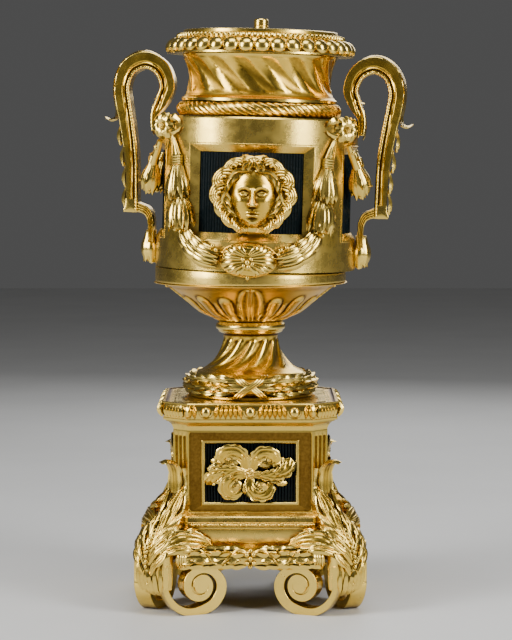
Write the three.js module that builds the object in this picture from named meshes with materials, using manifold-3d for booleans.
// Mantel urn: gilt bronze two-handled urn on a square plinth with scroll feet.
// Millimetres, +Z up, front towards -Y.
import * as THREE from 'three';
import { mergeVertices } from 'three/addons/utils/BufferGeometryUtils.js';
import Module from 'manifold-3d';

const wasm = await Module();
wasm.setup();
const { Manifold, Mesh: SolidMesh } = wasm;

// ---------------------------------------------------------------- driving dimensions
const RELIEF = 1.2;              // the same for applied relief, which keeps a wider clearance
const FINEST = 0.35;              // smallest facet step kept when pieces are joined
const GAP = 0.3;                 // clearance between touching pieces
const SEG = 36;                  // facets round the drum and what fits it
const LEAN = THREE.MathUtils.degToRad(1.45); // lean of the drum and all above it
const SHIFT = 3.6;               // sideways shift of the drum on the base ring
const TURN = THREE.MathUtils.degToRad(-4);   // turn of the drum and all above it about their own axis
const Z_SEAT = 266;              // underside of the drum

const ROD_R = 5.8, ROD_TOP = 463.5, ROD_LOW = 441;
const RIM_Z = 434.3, RIM_LOBES = 36, RIM_R = 75.6, PLATE_R = 61.6, PLATE_TOP = 453.5;
const NECK_Z0 = 397.4, NECK_Z1 = 434.0, NECK_FLUTES = 17;
const ROPE_R = 60, ROPE_TUBE = 5.9, ROPE_Z = 391.3;
const DRUM_R = 79.5, DRUM_WALL = 4, DRUM_TOP = 385;
const WIN_Z0 = 295.6, WIN_Z1 = 358, WIN_BEVEL = 5.4;
const WIN_HALF = 32, WIN_HALF_OUT = 37;            // half-angles of the front and back windows
const SIDE_HALF = 23, SIDE_HALF_OUT = 28;          // half-angles of the windows behind the handles
const LINER_R = 75.0, LINER_WALL = 4;
const RING_R = 76.2, RING_WALL = 6, RING_Z0 = 255;
const BOWL_R = 77.5, BOWL_TOP = 254.7, BOWL_LOBES = 16;
const STEM_TOP = 223.3, STEM_LOW = 163.8;
const HALF = 49;                 // half-length of every main side of the plinth
const DIE_W = 60.5, DIE_Z0 = 77, DIE_Z1 = 141;
const PANEL_HALF = 35.7, PANEL_Z0 = 85, PANEL_Z1 = 131.5;
const CAP_TOP = 163.5;
const ROLL_R = 8.3, ROLL_Z = 46, ROLL_Y = 78.4, ROLL_HALF = 58;
const VOLUTE_EYE = 31.5, VOLUTE_Z = 22.2, VOLUTE_DEPTH = 13;

// ---------------------------------------------------------------- helpers
const V = (x, y, z) => new THREE.Vector3(x, y, z);
const lerp = THREE.MathUtils.lerp;
const rad = THREE.MathUtils.degToRad;

// piecewise-linear table lookup
function table(rows, t) {
  if (t <= rows[0][0]) return rows[0][1];
  for (let i = 1; i < rows.length; i++) {
    if (t <= rows[i][0]) {
      const k = (t - rows[i - 1][0]) / (rows[i][0] - rows[i - 1][0]);
      return lerp(rows[i - 1][1], rows[i][1], k);
    }
  }
  return rows[rows.length - 1][1];
}

// keep position only, join equal vertices, drop collapsed triangles
function weld(geo, tol = 1e-4) {
  let g = geo.clone();
  for (const name of Object.keys(g.attributes)) if (name !== 'position') g.deleteAttribute(name);
  g = mergeVertices(g, tol);
  const index = [];
  for (let i = 0; i < g.index.count; i += 3) {
    const [a, b, c] = [g.index.getX(i), g.index.getX(i + 1), g.index.getX(i + 2)];
    if (a !== b && b !== c && c !== a) index.push(a, b, c);
  }
  g.setIndex(index);
  return g;
}

// move every vertex by a function of its position
function warp(geo, f) {
  const g = weld(geo);
  const p = g.attributes.position, v = new THREE.Vector3();
  for (let i = 0; i < p.count; i++) {
    v.fromBufferAttribute(p, i);
    const w = f(v.x, v.y, v.z);
    p.setXYZ(i, w.x, w.y, w.z);
  }
  return g;
}

function signedVolume(g) {
  const p = g.attributes.position, a = new THREE.Vector3(), b = new THREE.Vector3(), c = new THREE.Vector3();
  let s = 0;
  for (let i = 0; i < g.index.count; i += 3) {
    a.fromBufferAttribute(p, g.index.getX(i));
    b.fromBufferAttribute(p, g.index.getX(i + 1));
    c.fromBufferAttribute(p, g.index.getX(i + 2));
    s += a.dot(b.cross(c));
  }
  return s / 6;
}

// closed geometry -> solid, facing out
function solid(geo) {
  const g = weld(geo);
  if (signedVolume(g) < 0) {
    const ix = g.index.array;
    for (let i = 0; i < ix.length; i += 3) [ix[i], ix[i + 1]] = [ix[i + 1], ix[i]];
  }
  return new Manifold(new SolidMesh({
    numProp: 3,
    vertProperties: new Float32Array(g.attributes.position.array),
    triVerts: new Uint32Array(g.index.array),
  }));
}

function join(list) {
  let out = list[0];
  for (const s of list.slice(1)) out = out.add(s);
  return out;
}

// solid -> geometry; only the largest body is kept, chips cut loose are dropped
function geometryOf(man, tol = 0.01) {
  let m = man;
  for (let i = 0, before = Infinity; i < 12 && m.numTri() < before; i++) {
    before = m.numTri();
    const g = m.getMesh();     // taken out and in again, so that flat neighbours may merge
    m = new Manifold(new SolidMesh({ numProp: 3, vertProperties: g.vertProperties, triVerts: g.triVerts })).simplify(tol);
  }
  const parts = m.decompose();
  if (parts.length > 1) {
    parts.sort((a, b) => b.volume() - a.volume());
    m = parts[0];
  }
  const mesh = m.getMesh();
  const g = new THREE.BufferGeometry();
  g.setAttribute('position', new THREE.BufferAttribute(new Float32Array(mesh.vertProperties), 3));
  g.setIndex(Array.from(mesh.triVerts));
  return g;
}

// turned solid: profile [[r, z], ...] from axis to axis, or closed on itself
function turned(profile, n = SEG, f = null) {
  const lathe = new THREE.LatheGeometry(profile.map(([r, z]) => new THREE.Vector2(r, z)), n);
  return solid(warp(lathe, (x, y, z) => {
    const r = Math.hypot(x, z), a = Math.atan2(z, x);
    if (!f || r < 1e-6) return V(r * Math.cos(a), r * Math.sin(a), y);
    const [r2, a2, z2] = f(r, a, y);
    return V(r2 * Math.cos(a2), r2 * Math.sin(a2), z2);
  }));
}

// box in unit coordinates bent by f(u, v, w), each from -1 to 1
function bent(nu, nv, nw, f) {
  return solid(warp(new THREE.BoxGeometry(2, 2, 2, nu, nv, nw), f));
}

// spindle from p0 to p1 with rows [t, radius]
function spindle(p0, p1, rows, n = 6) {
  const axis = p1.clone().sub(p0), len = axis.length();
  axis.normalize();
  const side = Math.abs(axis.z) < 0.9 ? V(0, 0, 1) : V(1, 0, 0);
  const a = side.clone().cross(axis).normalize(), b = axis.clone().cross(a);
  const pts = rows.map(([t, r]) => new THREE.Vector2(r, t * len));
  return solid(warp(new THREE.LatheGeometry(pts, n), (x, y, z) =>
    p0.clone().addScaledVector(axis, y).addScaledVector(a, x).addScaledVector(b, z)));
}

function ball(c, rx, ry, rz, nw = 8, nh = 6) {
  return solid(warp(new THREE.SphereGeometry(1, nw, nh), (x, y, z) => V(c.x + rx * x, c.y + ry * z, c.z + rz * y)));
}

// rod along a smooth line
function tube(points, r, steps, n = 6) {
  const s = new THREE.Shape();
  for (let i = 0; i < n; i++) {
    const a = (i / n) * 2 * Math.PI;
    if (i) s.lineTo(r * Math.cos(a), r * Math.sin(a)); else s.moveTo(r, 0);
  }
  return solid(new THREE.ExtrudeGeometry(s, { steps, extrudePath: new THREE.CatmullRomCurve3(points) }));
}

// leaf: spine points, width and thickness along it, and the outward direction
function leaf(points, width, thick, outward, nt = 5, crown = 0.25, nu = 2) {
  const c = new THREE.CatmullRomCurve3(points);
  return bent(nu, nt, 1, (u, v, w) => {
    const t = (v + 1) / 2, p = c.getPoint(t), tan = c.getTangent(t);
    const out = (typeof outward === 'function' ? outward(t, p) : outward).clone();
    const side = tan.clone().cross(out).normalize();
    const up = side.clone().cross(tan).normalize();
    const h = table(width, t), d = table(thick, t);
    return p.addScaledVector(side, u * h).addScaledVector(up, w * d / 2 - crown * h * u * u);
  });
}

// polygon with canted corners lofted through rows [z, half-width]
function canted(rows, half = HALF) {
  const n = rows.length - 1;
  const corner = (i, w) => [[half, w], [w, half], [w, -half], [half, -w], [-half, -w], [-w, -half], [-w, half], [-half, w]][i];
  return solid(warp(new THREE.CylinderGeometry(1, 1, n, 8, n), (x, y, z) => {
    const [zz, w] = rows[Math.round(y + n / 2)];
    if (Math.hypot(x, z) < 1e-6) return V(0, 0, zz);
    const i = (Math.round(Math.atan2(x, z) / (Math.PI / 4)) + 8) % 8;
    const [px, py] = corner(i, w);
    return V(px, py, zz);
  }));
}

function box(x0, x1, y0, y1, z0, z1) {
  return solid(warp(new THREE.BoxGeometry(1, 1, 1), (x, y, z) =>
    V(lerp(x0, x1, x + 0.5), lerp(y0, y1, y + 0.5), lerp(z0, z1, z + 0.5))));
}

// turn a solid about the vertical axis by quarter turns, or mirror it
const moved = (man, f) => {
  const g = geometryOf(man);
  const p = g.attributes.position;
  for (let i = 0; i < p.count; i++) {
    const w = f(p.getX(i), p.getY(i), p.getZ(i));
    p.setXYZ(i, w[0], w[1], w[2]);
  }
  return solid(g);
};
const quarter = (man, k) => {
  const c = [1, 0, -1, 0][k % 4], s = [0, 1, 0, -1][k % 4];
  return moved(man, (x, y, z) => [c * x - s * y, s * x + c * y, z]);
};
const mirrored = (man, sx, sy) => moved(man, (x, y, z) => [sx * x, sy * y, z]);

// ---------------------------------------------------------------- materials
const finish = (color, roughness, metalness = 1) =>
  new THREE.MeshStandardMaterial({ color: new THREE.Color(...color), roughness, metalness });
const gilt = () => finish([0.83, 0.62, 0.25], 0.28);
const satin = () => finish([0.78, 0.58, 0.24], 0.4);
const warm = () => finish([0.80, 0.50, 0.18], 0.25);
const dark = () => finish([0.01, 0.016, 0.02], 0.2, 0.3);

const root = new THREE.Group();
root.name = 'mantel_urn';
const lower = new THREE.Group();
const seat = new THREE.Group();   // stands on the base ring, turned by the lean
const upper = new THREE.Group();
root.add(lower, seat);
seat.add(upper);
seat.position.set(SHIFT, 0, Z_SEAT);
seat.rotation.y = LEAN;
upper.position.set(0, 0, -Z_SEAT);
upper.rotation.z = TURN;

function put(group, name, man, material, step = FINEST) {
  const mesh = new THREE.Mesh(geometryOf(man, step), material);
  mesh.name = name;
  group.add(mesh);
  return mesh;
}

// ---------------------------------------------------------------- tie rod
const rod = turned([[0, ROD_LOW], [ROD_R, ROD_LOW], [ROD_R, ROD_TOP], [0, ROD_TOP]], 16);
put(upper, 'tie_rod', rod, satin());

// ---------------------------------------------------------------- rim
{
  const n = RIM_LOBES * 2;
  const lobes = turned([
    [64, RIM_Z + 1.4], [RIM_R - 1.8, RIM_Z + 1.4], [RIM_R, RIM_Z + 5], [RIM_R - 6, RIM_Z + 11], [64, RIM_Z + 11], [64, RIM_Z + 1.4],
  ], n, (r, a, z) => {
    const k = Math.abs(Math.sin(a * RIM_LOBES / 2));
    return [r > 65 ? r - 2.6 * (1 - k) : r, a, z];
  });
  const body = turned([
    [ROD_R + 0.8, PLATE_TOP], [PLATE_R, PLATE_TOP], [PLATE_R, 450.2], [65, 450.2], [67.2, 447.8], [65.6, 445],
    [73.2, RIM_Z + 1.4], [73.2, RIM_Z], [57, RIM_Z], [57, 447], [ROD_R + 0.8, 448], [ROD_R + 0.8, PLATE_TOP],
  ], 24);
  put(upper, 'rim', body.add(lobes), gilt());
}

// ---------------------------------------------------------------- neck
{
  const rows = [[NECK_Z0, 61.8], [400, 61.8], [404, 58.4], [413, 56.2], [423, 57], [NECK_Z1, 62]];
  const outer = rows.map(([z, r]) => [r, z]);
  const inner = [[59.4, NECK_Z1], [53.2, 414], [58.6, NECK_Z0]];
  const profile = [...outer, ...inner, outer[0]];
  put(upper, 'neck', turned(profile, NECK_FLUTES * 2, (r, a, z) => {
    const twist = -(z - NECK_Z0) / (NECK_Z1 - NECK_Z0) * 0.5;
    const outside = r > table(rows, z) - 0.2;
    const fade = table([[NECK_Z0 + 3.5, 0], [404, 1], [424, 1], [432, 0]], z);
    const ridge = Math.round((a / (2 * Math.PI)) * NECK_FLUTES * 2) & 1;
    return [outside ? r + 2.2 * fade * (ridge - 0.5) : r, a + twist, z];
  }), gilt());
}

// ---------------------------------------------------------------- rope collar
{
  const ring = [];
  for (let i = 0; i <= 5; i++) {
    const a = (i / 5) * 2 * Math.PI;
    ring.push([ROPE_R + ROPE_TUBE * Math.cos(a), ROPE_Z + ROPE_TUBE * Math.sin(a)]);
  }
  put(upper, 'rope_collar', turned(ring, 36, (r, a, z) => {
    const strand = Math.round((a / (2 * Math.PI)) * 36) % 2;
    const k = strand ? 0.93 : 1;
    return [ROPE_R + (r - ROPE_R) * k, a, ROPE_Z + (z - ROPE_Z) * k];
  }), gilt());
}

// ---------------------------------------------------------------- drum
{
  const inner = DRUM_R - DRUM_WALL;
  let cage = turned([
    [inner, Z_SEAT], [DRUM_R, Z_SEAT], [DRUM_R, DRUM_TOP - 1], [DRUM_R - 1, DRUM_TOP], [57, DRUM_TOP], [57, DRUM_TOP - 2.5],
    [inner, DRUM_TOP - 2.5], [inner, Z_SEAT],
  ], SEG);
  // the cutter runs past both faces
  const cutter = (half, halfOut) => bent(3, 1, 1, (u, v, w) => {
    const s = lerp(-0.5, 1.5, (w + 1) / 2);          // 0 inside face, 1 outside face
    const r = lerp(inner, DRUM_R, s);
    const ha = rad(lerp(half, halfOut, s));
    const z = v < 0 ? WIN_Z0 - WIN_BEVEL * s : WIN_Z1 + WIN_BEVEL * s;
    return V(r * Math.sin(u * ha) * 1.002, -r * Math.cos(u * ha) * 1.002, z);
  });
  const wide = cutter(WIN_HALF, WIN_HALF_OUT), narrow = cutter(SIDE_HALF, SIDE_HALF_OUT);
  for (let i = 0; i < 4; i++) cage = cage.subtract(quarter(i % 2 ? narrow : wide, i));
  put(upper, 'drum_cage', cage, satin());

  const zl0 = 275, zl1 = 381.5;
  put(upper, 'drum_liner', turned([
    [LINER_R - LINER_WALL, zl0], [LINER_R, zl0], [LINER_R, zl1], [LINER_R - LINER_WALL, zl1], [LINER_R - LINER_WALL, zl0],
  ], SEG, (r, a, z) => {
    const groove = Math.round((a / (2 * Math.PI)) * SEG) & 1;
    return [groove && r > LINER_R - 1 ? r - 1.4 : r, a, z];
  }), dark());
}
const clear = (gap) => turned([[0, Z_SEAT - 12], [DRUM_R + gap, Z_SEAT - 12], [DRUM_R + gap, DRUM_TOP + gap], [0, DRUM_TOP + gap]], SEG);
const drumClear = clear(GAP), reliefClear = clear(GAP + 0.5);
const collarClear = turned([
  [0, DRUM_TOP], [ROPE_R + ROPE_TUBE + 0.6, DRUM_TOP], [ROPE_R + ROPE_TUBE + 0.6, 397.6], [63.4, 400.5], [60.8, 406], [59.4, 413],
  [59.6, 421], [62.4, 429], [64.6, 433.6], [76.4, 433.8], [76.4, 446], [0, 446],
], 36);

// ---------------------------------------------------------------- handles
// The strap runs in the plane through the axis: rows are [radius, height, half-width of the side face].
{
  const line = [
    [82.2, 373, 2.4], [82.6, 380, 2.7], [81.6, 388, 3.4], [77, 397, 5.0], [73, 409, 5.9], [78.4, 422.6, 6.4], [91, 428.6, 6.8], [104, 422.4, 6.8],
    [109, 408, 6.2], [107.6, 394, 6.2], [105, 381, 5.8], [101.2, 357, 5.5], [99.6, 340, 5.0], [99.0, 316, 4.8],
  ];
  const curve = new THREE.CatmullRomCurve3(line.map(([r, z, h]) => V(r, z, h)));
  const outlineOuter = [], outlineInner = [];
  const steps = 19;
  for (let i = 0; i <= steps; i++) {
    const p = curve.getPoint(i / steps), t = curve.getTangent(i / steps);
    const l = Math.hypot(t.x, t.y), nx = -t.y / l, nz = t.x / l;
    outlineOuter.push([p.x + nx * p.z, p.y + nz * p.z]);
    outlineInner.push([p.x - nx * p.z, p.y - nz * p.z]);
  }
  // the foot: square corner, then in along the bottom and down as a stem
  const foot = [
    [105.6, 307.6], [95.1, 307.1], [90.1, 305.9], [87.2, 301.6], [85.9, 293], [85.9, 284], [81.3, 284], [81.2, 303.3], [83, 308.9],
    [88.2, 313.7], [93.6, 316.7],
  ];
  const outline = [...outlineOuter, ...foot, ...outlineInner.reverse().slice(1)];
  const shape = new THREE.Shape(outline.map(([r, z]) => new THREE.Vector2(r, z)));
  const depth = 22.5;
  const strap = solid(warp(new THREE.ExtrudeGeometry(shape, { depth, bevelEnabled: false, steps: 1 }),
    (x, y, z) => V(x, (z - depth / 2), y)));
  // acanthus leaf lying over the outer top
  const over = leaf([V(83, 0, 434.2), V(97, 0, 434.8), V(110, 0, 423.5), V(115.3, 0, 409), V(114.6, 0, 394)], [[0, 4], [0.4, 12.2], [0.8, 12.2], [1, 8]],
    [[0, 2.5], [0.5, 2.8], [1, 2.6]], (t, p) => V(p.x - 90, 0, p.z - 405), 6, 0.05, 1);
  // leaf tip that curls away below it
  const curl = leaf([V(114, 0, 397), V(112.4, 0, 387), V(115.6, 0, 381.4), V(123, 0, 382.7)], [[0, 10], [0.6, 8], [1, 3.4]],
    [[0, 4], [0.7, 3], [1, 1.6]], V(1, 0, 0.2), 3, 0.05, 1);
  // husk chain down the outer face
  const husks = [];
  for (let i = 0; i < 4; i++) {
    const z1 = 376 - i * 16.4, r = table([[310, 104.2], [340, 104.6], [357, 106.7], [381, 110.8]], z1);
    husks.push(spindle(V(r + 0.6, 0, z1), V(r - 1.6, 0, z1 - 17.4), [[0, 0], [0.2, 2.4], [0.7, 4.6 - i * 0.3], [1, 0]], 5));
  }
  // leaf husk hanging at the foot
  const drop = spindle(V(84.2, 0, 294), V(82.6, 0, 264), [[0, 0], [0.12, 5], [0.42, 8.2], [0.76, 5], [1, 0]], 6);
  // small leaf tip at the end of the inner ridge
  const inner = leaf([V(77.4, 0, 413), V(77.6, 0, 404.4), V(84.3, 0, 398)], [[0, 9], [1, 3]], [[0, 5], [1, 1.8]], V(1, 0, 0), 2, 0.05, 1);
  let handle = join([strap, over, curl, ...husks, drop, inner]).subtract(drumClear).subtract(collarClear);
  put(upper, 'handle_right', handle, gilt());
  put(upper, 'handle_left', mirrored(handle, -1, 1), gilt());
}

// ---------------------------------------------------------------- rosettes and tassels
const ROS = { r: 84.5, a: rad(32), z: 377 };
const rosetteAt = V(ROS.r * Math.cos(ROS.a), -ROS.r * Math.sin(ROS.a), ROS.z);
{
  const dir = V(0.515, -0.857, 0).normalize();
  const across = V(0, 0, 1).cross(dir).normalize();
  const petals = 8, n = petals * 2;
  const disc = turned([[0, -2.4], [11, -0.2], [3.6, 1.6], [0, 5.2]], n,
    (r, a, z) => [Math.round((a / (2 * Math.PI)) * n) & 1 && r > 5 ? r * 0.84 : r, a, z]);
  const face = (m) => moved(m, (x, y, z) => {
    const p = rosetteAt.clone().addScaledVector(across, x).addScaledVector(dir, z);
    return [p.x, p.y, p.z + y];
  });
  const boss = spindle(rosetteAt.clone().addScaledVector(dir, 0.4), V(64, -33, ROS.z), [[0, 0], [0.02, 5.4], [0.98, 5.4], [1, 0]], 6);
  const leaflet = leaf([V(66, -49.4, ROS.z + 3.4), V(60.4, -55.6, ROS.z + 8.6), V(56.6, -59, ROS.z + 4.6)], [[0, 3], [0.6, 3.6], [1, 1.2]],
    [[0, 3], [1, 1.4]], V(0.7, -0.7, 0.1), 2, 0.1, 1);
  const rosette = join([face(disc), boss, leaflet]).subtract(reliefClear);

  const tassel = join([
    tube([V(73.8, -44, 364.4), V(76.2, -39.4, 358), V(78.8, -34.4, 352), V(80.2, -31.8, 347)], 2.7, 2, 4),
    spindle(V(79.2, -33.6, 354.4), V(83.4, -25.4, 323), [[0, 0], [0.03, 3.8], [0.2, 3.8], [0.3, 4.4], [0.58, 7.4], [0.82, 6], [1, 0]], 6),
  ]).subtract(reliefClear);

  for (const [name, sx, sy] of [['front_left', -1, 1], ['front_right', 1, 1], ['back_left', -1, -1], ['back_right', 1, -1]]) {
    put(upper, 'rosette_' + name, mirrored(rosette, sx, sy), gilt(), RELIEF);
    put(upper, 'tassel_' + name, mirrored(tassel, sx, sy), gilt(), RELIEF);
  }
}

// ---------------------------------------------------------------- garlands
{
  // on the face of the drum: angle from the front in degrees, height, stand-off
  const on = (deg, z, off = 0) => V((DRUM_R + off) * Math.sin(rad(deg)), -(DRUM_R + off) * Math.cos(rad(deg)), z);
  const husk = (a0, z0, a1, z1, r, off = 2.5, n = 5) =>
    spindle(on(a0, z0, off), on(a1, z1, off), [[0, 0], [0.08, 0.6 * r], [0.62, r], [1, 0]], n);
  const side = (s) => [
    tube([on(s * 50, 366, 1.4), on(s * 45.6, 350, 1.6), on(s * 42.6, 318, 1.6), on(s * 38, 293, 1.8), on(s * 27, 281, 2.4), on(s * 7, 276, 3)], 2.6, 7, 4),
    husk(s * 51, 371, s * 45.6, 351.6, 4.4, 1.6, 5),
    spindle(on(s * 45.6, 354.6, 2.2), on(s * 44.6, 344.6, 2.2), [[0, 0], [0.06, 3.6], [0.94, 3.6], [1, 0]], 5),
    husk(s * 44.4, 346, s * 42.6, 317.6, 9, 2.4),
    husk(s * 42.2, 322.4, s * 39.8, 293.4, 10, 2.4),
    husk(s * 40.4, 298.6, s * 13.5, 273.4, 9.4, 2.6, 6),
    ball(on(s * 19.4, 282.6, 3.4), 6, 5, 6, 5, 3),
  ];
  const cluster = bent(4, 3, 1, (u, v, w) => {
    const uu = u * Math.sqrt(1 - v * v / 2), vv = v * Math.sqrt(1 - u * u / 2);
    const d = 1 - Math.min(1, uu * uu + vv * vv);
    const p = on(uu * 16, 275.6 + vv * 14, 0.2);
    const o = V(p.x, p.y, 0).normalize();
    return p.addScaledVector(o, w > 0 ? 3 + 8 * Math.sqrt(d) : -2);
  });
  const pendant = spindle(on(0, 263, 2.4), on(0, 254.2, 1.8), [[0, 0], [0.2, 3.2], [0.6, 2.4], [1, 0]], 5);
  const bead = ball(on(0, 270, 9.4), 3, 3, 3, 5, 3);
  const swag = join([...side(-1), ...side(1), cluster, pendant, bead]).subtract(reliefClear);
  put(upper, 'garland_front', swag, gilt(), RELIEF);
  put(upper, 'garland_back', mirrored(swag, 1, -1), gilt(), RELIEF);
}

// ---------------------------------------------------------------- masks
{
  const cx = 3.4, cz = 325;
  const list = [
    ball(V(cx, -85, cz + 0.5), 19, 17, 25, 8, 5),          // face
    bent(1, 2, 1, (u, v, w) => V(cx + u * 2.6 * (1 - 0.3 * v), -98 - (w > 0 ? 3.6 - 2.2 * v : -4), cz - 1 + v * 6.4)), // nose
    ball(V(cx, -94.6, cz - 19.5), 6.4, 5, 4.6, 6, 4),         // chin
  ];
  // locks round the face, larger at the top
  const locks = 7;
  for (let i = 0; i < locks; i++) {
    const a = rad(-58 + 296 * i / (locks - 1));
    const up = (1 + Math.sin(a)) / 2;
    list.push(ball(V(cx + 23.4 * Math.cos(a), -84.4 - 3 * up, cz + 22.8 * Math.sin(a)), 11.4 + up, 7.6 + 2 * up, 11.4 + up * 0.6, 5, 3));
  }
  list.push(ball(V(cx - 6, -86, cz - 26), 6.8, 6, 5.6, 5, 3), ball(V(cx + 6, -86, cz - 26), 6.8, 6, 5.6, 5, 3));
  const mask = join(list).subtract(reliefClear);
  put(upper, 'mask_front', mask, gilt(), RELIEF);
  put(upper, 'mask_back', moved(mask, (x, y, z) => [-x, -y, z]), gilt(), RELIEF);
}

// ---------------------------------------------------------------- base ring, bowl, stem (upright)
put(lower, 'base_ring', turned([
  [RING_R - RING_WALL, RING_Z0], [RING_R, RING_Z0], [RING_R, Z_SEAT], [RING_R - RING_WALL, Z_SEAT], [RING_R - RING_WALL, RING_Z0],
], SEG, (r, a, z) => {
  // the top follows the leaning drum, with a slit that opens to the right
  const x = r * Math.cos(a);
  return [r, a, z < Z_SEAT - 1 ? z : Z_SEAT - (x - SHIFT) * Math.tan(LEAN) - 0.9 - (x + RING_R) / (2 * RING_R) * 0.9];
}), satin());

{
  const rows = [[226, 25], [230.2, 38.6], [237.7, 47.9], [245, 57], [251, 64]];
  const profile = [[0, 223.7], [25, 223.7], ...rows.slice(1).map(([z, r]) => [r, z]), [BOWL_R, BOWL_TOP - 1], [BOWL_R, BOWL_TOP],
    [63.4, BOWL_TOP], [44.6, 238.4], [0, 227]];
  const bowl = turned(profile, BOWL_LOBES * 2, (r, a, z) => {
    const outside = z < 252 && r > table(rows, z) - 0.6;
    const fade = table([[224.5, 0], [229, 0.6], [238, 1], [245, 0.8], [247, 0]], z);
    const k = Math.abs(Math.cos(a * BOWL_LOBES / 2));
    return [outside ? r + 1.5 * fade * (k - 0.4) : r, a, z];
  });
  put(lower, 'bowl', bowl, warm());
}

{
  const rows = [[181.5, 44], [183.7, 40.8], [188.8, 32.5], [201.5, 23.2], [206, 21.6], [213, 22.3]];
  const fluteRows = rows.slice(1).map(([z, r]) => [r, z]);
  const wreath = [];
  for (let i = 0; i <= 4; i++) {
    const a = rad(-78 + 156 * i / 4);
    wreath.push([45.9 + 8 * Math.cos(a), 173.5 + 8 * Math.sin(a)]);
  }
  const profile = [[0, STEM_LOW], [50, STEM_LOW], [50, 165.6], ...wreath, ...fluteRows, [27.4, 217], [27.6, 221], [22, STEM_TOP], [0, STEM_TOP]];
  put(lower, 'stem', turned(profile, 26, (r, a, z) => {
    const fade = z > 184 && z < 212 ? 1 : 0;
    const twist = (z - 183.7) / 29.3 * 0.5 * (z > 183 && z < 214 ? 1 : z >= 214 ? 1 : 0);
    const bump = Math.round((a / (2 * Math.PI)) * 26) & 1;
    return [r + (fade ? 1.6 * (bump - 0.5) : 0), a + twist, z];
  }), gilt());
}

// ---------------------------------------------------------------- plinth
{
  let cap = canted([[DIE_Z1 + GAP, 60.5], [143.5, 60.8], [146.5, 62.8], [148.7, 66.4], [148.8, 68.2], [152.4, 68.6], [156, 71.4], [160, 71.4],
    [162.9, 69.4], [CAP_TOP, 68.8]]);
  cap = cap.subtract(canted([[130, 54], [158, 58]], 44));
  const egg = [];
  for (let i = -1; i <= 1; i++) {
    egg.push(ball(V(i * 34.4, -70.6, 157.6), 9.5, 2.8, 4.9, 6, 4));
    if (i < 1) egg.push(ball(V(i * 34.4 + 17.2, -70.6, 157.8), 4.4, 2.2, 4.6, 4, 2));
  }
  const row = join(egg);
  for (let i = 0; i < 4; i++) cap = cap.add(quarter(row, i));
  put(lower, 'plinth_cap', cap, gilt());
}
const caseRows = (d) => [[38.5 - d, 65.6 + d], [53.8 - d, 65.6 + d], [54 - d, 70 + d], [65.2 + d, 70 + d], [65.4 + d, 69 + d], [66.6 + d, 69 + d], [66.8 + d, 68.2 + d], [69.9 + d, 67.6 + d],
  [70.2 + d, 66.6 + d], [73 + d, 65 + d], [DIE_Z0 + d, DIE_W + d], [DIE_Z1 + d, DIE_W + d]];
// plain outline of the case, a little proud of it, for what is fitted to it
const caseClear = canted([[37, 66.4], [53.2, 66.4], [53.3, 70.6], [66, 70.6], [70.6, 68.6], [77.6, 61.2], [141.8, 61.2]], HALF + 0.3);
{
  let body = canted(caseRows(0));
  body = body.subtract(canted([[30, 61.6], [58, 61.6], [66, DIE_W - 3], [145, DIE_W - 3]], 46.5));
  for (let i = 0; i < 4; i++) {
    const frame = box(-47.8, 47.8, -62, -DIE_W + 1.1, 80.2, 137.6).subtract(box(-PANEL_HALF - 2, PANEL_HALF + 2, -63, -50, PANEL_Z0 - 2, PANEL_Z1 + 2));
    body = body.subtract(quarter(frame, i)).subtract(quarter(box(-PANEL_HALF, PANEL_HALF, -64, -50, PANEL_Z0, PANEL_Z1), i));
  }
  put(lower, 'plinth_case', body, satin());
}
{
  const teeth = 10, w = 38.5, y0 = -(DIE_W - 3 - GAP), back = y0 + 3.4;
  const pts = [[-w, back]];
  for (let i = 0; i <= teeth * 2; i++) pts.push([-w + 2 * w * i / (teeth * 2), i & 1 ? y0 : y0 + 1.1]);
  pts.push([w, back]);
  const plate = new THREE.ExtrudeGeometry(new THREE.Shape(pts.map(([x, y]) => new THREE.Vector2(x, y))), { depth: 52, bevelEnabled: false });
  const panel = solid(warp(plate, (x, y, z) => V(x, y, 82.3 + z)));

  // acanthus flower: four curled scrolls, a long leaf to each side and a berry boss
  const cz = 108.2, cy = -59.4;
  const scroll = (x, z, r) => ball(V(x, cy - 0.4, z), r, 3.6, r * 0.84, 6, 3);
  const long = (s) => leaf([V(s * 4, cy - 1.6, cz), V(s * 18, cy - 3.4, cz - 3 * s), V(s * 28, cy - 2.6, cz + 1 - s), V(s * 34, cy - 1.2, cz + 7 - 5 * s)], [[0, 4], [0.4, 6.4], [0.75, 6], [1, 1.6]],
    [[0, 4], [0.6, 3.6], [1, 2]], V(0, -1, 0), 3, 0.1, 1);
  const flower = join([
    scroll(-15, cz + 11, 9.6), scroll(13, cz + 10.6, 10.2), scroll(-14, cz - 12, 9.4), scroll(12, cz - 12.6, 9.6), long(-1), long(1),
    ball(V(0, cy - 3, cz), 5.2, 4.2, 5.2, 5, 3), box(-16, 16, cy - 0.8, cy + 1.2, cz - 10, cz + 9),
  ]).subtract(box(-80, 80, y0 - GAP - 0.5, -40, 60, 160));
  const names = ['front', 'right', 'back', 'left'];
  for (let i = 0; i < 4; i++) {
    put(lower, 'plinth_panel_' + names[i], quarter(panel, i), dark());
    put(lower, 'panel_ornament_' + names[i], quarter(flower, i), gilt(), 0.7);
  }

  // laurel roll: bound rod of leaves with a collar at each end
  const roll = spindle(V(-ROLL_HALF, -ROLL_Y, ROLL_Z), V(ROLL_HALF, -ROLL_Y, ROLL_Z),
    [[0, 0], [0.001, 7.4], [0.05, 7.4], [0.06, 6.6], [0.16, ROLL_R], [0.44, 7.2], [0.5, ROLL_R], [0.56, 7.2], [0.84, ROLL_R],
      [0.94, 6.6], [0.95, 7.4], [0.999, 7.4], [1, 0]], 8).subtract(caseClear);
  for (let i = 0; i < 4; i++) put(lower, 'laurel_roll_' + names[i], quarter(roll, i), gilt());
}

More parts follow.
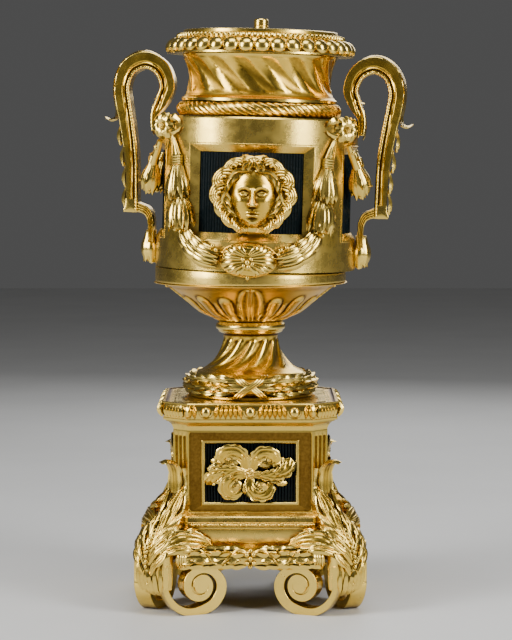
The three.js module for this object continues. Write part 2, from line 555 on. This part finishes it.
// ---------------------------------------------------------------- corner feet
{
  // worked out for the corner towards +X +Y, then mirrored
  const D = V(1, 1, 0).normalize(), L = V(1, -1, 0).normalize(), UP = V(0, 0, 1);
  const face = [[15, 106], [17, 108.4], [22, 110.6], [30, 112.2], [42, 113], [50, 111.6], [55, 109.4], [61, 106], [66.6, 101], [72, 94], [78, 88], [84, 85], [92, 82.6], [104, 81.4], [112, 84], [115.5, 89.5]];
  const half = [[15, 13], [22, 16.4], [42, 17.2], [55, 16], [66, 13.6], [78, 10.4], [90, 8.4], [104, 7.8], [112, 7.4], [115.5, 3.4]];
  const thick = [[15, 4], [25, 7], [50, 10], [66, 13], [78, 11], [104, 9], [110, 6], [115.5, 2]];
  const z0 = 14.5, z1 = 115.5;
  const slab = bent(2, 7, 1, (u, v, w) => {
    const z = lerp(z0, z1, (v + 1) / 2);
    const r = table(face, z) - 2.6 * u * u + (Math.abs(u) < 0.1 ? 1.2 : 0) - (w < 0 ? table(thick, z) : 0);
    const jag = v < -0.99 ? (Math.abs(u) < 0.1 ? -3 : 2) : 0;
    return D.clone().multiplyScalar(r).addScaledVector(L, u * table(half, z)).addScaledVector(UP, z + jag);
  });
  // volute: one closed outline from the strap at the console, round the floor and into the eye
  const rho = (q) => table([[0, 31.7], [45, 27.6], [90, 23.0], [135, 21.8], [180, 21.2], [225, 18], [270, 15.4], [315, 15], [360, 14.8], [405, 13.4], [450, 12], [495, 10.6], [540, 9.8], [600, 9]], q);
  const strapT = (q) => table([[0, 4.2], [45, 6.2], [90, 8.2], [135, 8.6], [180, 8.6], [215, 7.0]], q);
  const pts = [[VOLUTE_EYE - 31.2, VOLUTE_Z + 16]];
  const at = (q, r) => [VOLUTE_EYE - r * Math.cos(rad(q)), Math.max(0, VOLUTE_Z - r * Math.sin(rad(q)))];
  for (const q of [0, 40, 74, 101, 135, 180, 225, 270, 315, 360, 405, 450, 495, 540]) pts.push(at(q, rho(q)));
  for (let q = 210; q >= 0; q -= 42) pts.push(at(q, rho(q) - strapT(q)));
  pts.push([VOLUTE_EYE - 26.6, VOLUTE_Z + 16]);
  const outline = new THREE.Shape(pts.map(([s, z]) => new THREE.Vector2(s, z)));
  const curled = new THREE.ExtrudeGeometry(outline, { depth: VOLUTE_DEPTH, bevelEnabled: false });
  const volute = (start, dir, inward) => solid(warp(curled, (x, y, z) =>
    start.clone().addScaledVector(dir, x).addScaledVector(inward, z).add(V(0, 0, y))));
  const c = Math.cos(rad(22.5)), s = Math.sin(rad(22.5));
  const vy = volute(V(67, 91, 0), V(-c, -s, 0), V(s, -c, 0));
  const vx = volute(V(91, 67, 0), V(-s, -c, 0), V(-c, s, 0));
  // fronds over the roll and up the edge of the die, on both sides
  const frond = (flip) => {
    const P = (a, b, z) => (flip ? V(b, a, z) : V(a, b, z));
    const out = flip ? V(1, 0, 0.5) : V(0, 1, 0.5), outUp = flip ? V(1, 0.25, 0.1) : V(0.25, 1, 0.1);
    return [
      leaf([P(72, 84, 46), P(63, 85.5, 56), P(50, 84, 60.5), P(38, 80, 58.4), P(30, 76.6, 55.2)], [[0, 8], [0.35, 9.4], [0.7, 6.6], [1, 1.2]], [[0, 7], [0.6, 5], [1, 2.4]], out, 3, 0.2, 1),
      leaf([P(71, 80, 58), P(66, 74, 70), P(59, 67, 84), P(52, 62.6, 98)], [[0, 6], [0.4, 6.4], [0.8, 4], [1, 1]], [[0, 8], [0.6, 5], [1, 2.2]], outUp, 2, 0.2, 1),
    ];
  };
  const rolls = [];
  for (const k of [1, 2]) rolls.push(quarter(spindle(V(-ROLL_HALF - 0.6, -ROLL_Y, ROLL_Z), V(ROLL_HALF + 0.6, -ROLL_Y, ROLL_Z), [[0, 0], [0.001, ROLL_R + 0.9], [0.999, ROLL_R + 0.9], [1, 0]], 8), k));
  const web = leaf([V(58, 58, 44), V(70, 70, 40), V(77, 77, 36)], [[0, 10], [1, 12]], [[0, 9], [1, 12]], V(-0.4, -0.4, 1), 1, 0, 1);
  let foot = join([slab, vx, vy, web, ...frond(false), ...frond(true)]);
  foot = foot.subtract(caseClear);
  for (const r of rolls) foot = foot.subtract(r);
  for (const [name, sx, sy] of [['front_left', -1, -1], ['front_right', 1, -1], ['back_left', -1, 1], ['back_right', 1, 1]]) {
    put(lower, 'corner_foot_' + name, mirrored(foot, sx, sy), gilt(), 0.7);
  }
}

// ---------------------------------------------------------------- origin at the middle of the underside
root.updateMatrixWorld(true);
const bounds = new THREE.Box3().setFromObject(root, true);
const middle = bounds.getCenter(new THREE.Vector3());
const group = new THREE.Group();
root.position.set(-middle.x, -middle.y, -bounds.min.z);
group.add(root);
group.updateMatrixWorld(true);

export default group;
